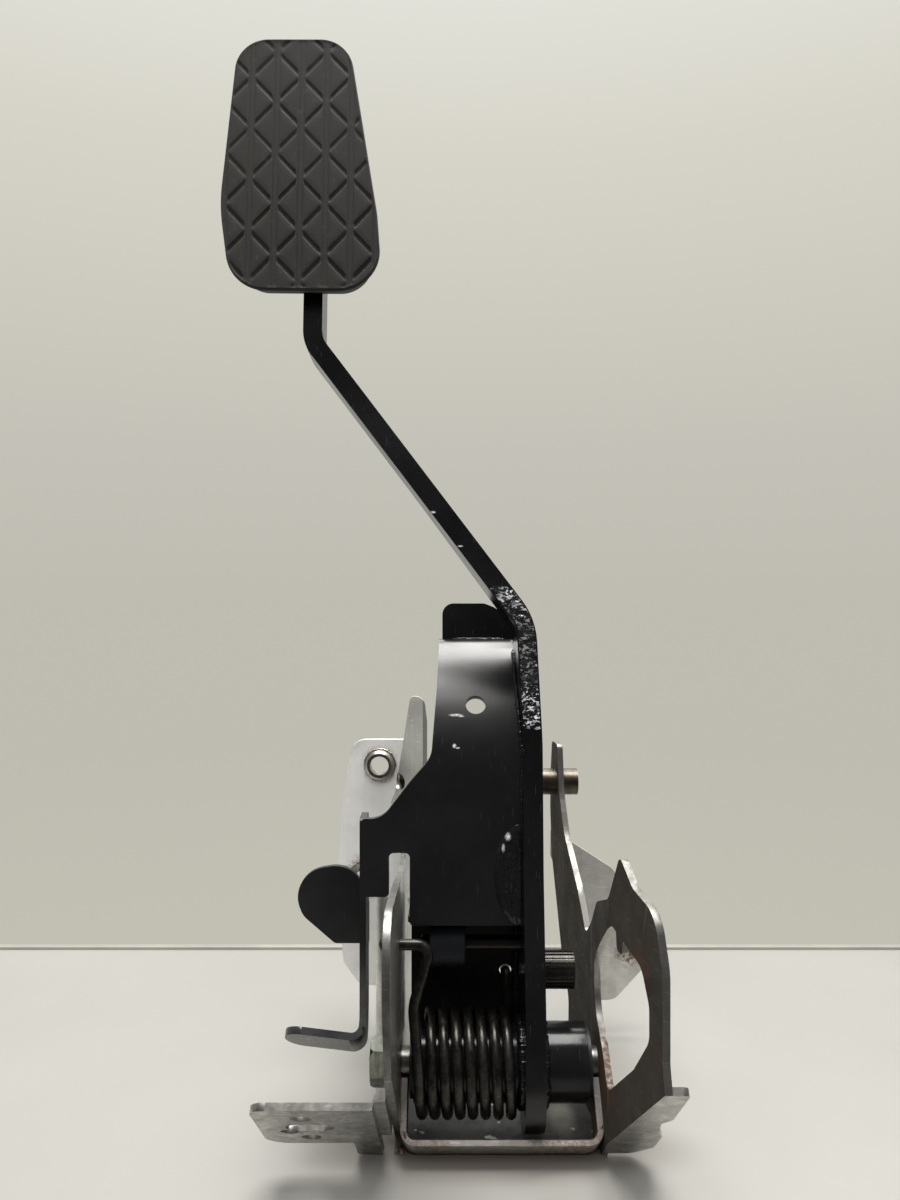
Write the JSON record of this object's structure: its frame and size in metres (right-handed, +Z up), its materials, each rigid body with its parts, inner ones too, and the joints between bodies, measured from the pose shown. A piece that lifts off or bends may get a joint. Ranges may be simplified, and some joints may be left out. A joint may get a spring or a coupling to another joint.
{
  "type": "clutch pedal with mounting bracket",
  "caption": "Suspended clutch pedal on its pressed steel bracket: rubber pad on a cranked arm, hinged on a pivot pin with a coil return spring.",
  "frame": {"origin": "centre of the bounding box in X and Y, at the ground plane the bracket stands on", "axes": "+Z up along the pedal towards the pad, +X to the driver's right, +Y away from the driver towards the bulkhead; the pivot runs along X"},
  "size_m": [0.1944, 0.1682, 0.4598],
  "materials": {
    "plated_sheet": "zinc plated sheet, satin",
    "black_paint": "gloss black paint",
    "pin_steel": "turned steel, satin",
    "spring_steel": "oiled spring wire",
    "weld_nut_steel": "heat-marked steel",
    "pad_rubber": "matte moulded rubber",
    "bush_plastic": "matte moulded plastic",
    "stud_steel": "black oxide, satin"
  },
  "bodies": {
    "bracket": {"left_wall": "plated_sheet", "right_wall": "plated_sheet", "stirrup": "plated_sheet", "base_plate": "plated_sheet", "left_bulkhead_plate": "plated_sheet", "right_bulkhead_plate": "plated_sheet", "weld_nuts": "weld_nut_steel", "left_horn": "plated_sheet", "cross_tube": "pin_steel", "left_stiffener": "plated_sheet", "pivot_pin": "pin_steel", "pivot_washer": "pin_steel", "pivot_nut": "pin_steel", "torsion_spring": "spring_steel"},
    "pedal": {"pedal_arm": "black_paint", "hub_tube": "black_paint", "hub_bushes": "bush_plastic", "lever_plate": "black_paint", "stop_ear": "black_paint", "switch_paddle": "black_paint", "top_tab": "black_paint", "lower_sheet": "black_paint", "cross_pin": "black_paint", "pin_bush": "black_paint", "knurled_stud": "stud_steel", "pad_plate": "black_paint", "pad_rubber": "pad_rubber"}
  },
  "joints": [
    {"name": "pedal_pivot", "type": "hinge", "parent": "bracket", "child": "pedal", "pos_m": [-0.00186, -0.00449, 0.0314], "axis": [-1, 0, 0], "range_deg": [0, 22], "stiffness_Nm_per_rad": 3, "springref_deg": -34.38, "deforming": ["torsion_spring"]}
  ]
}
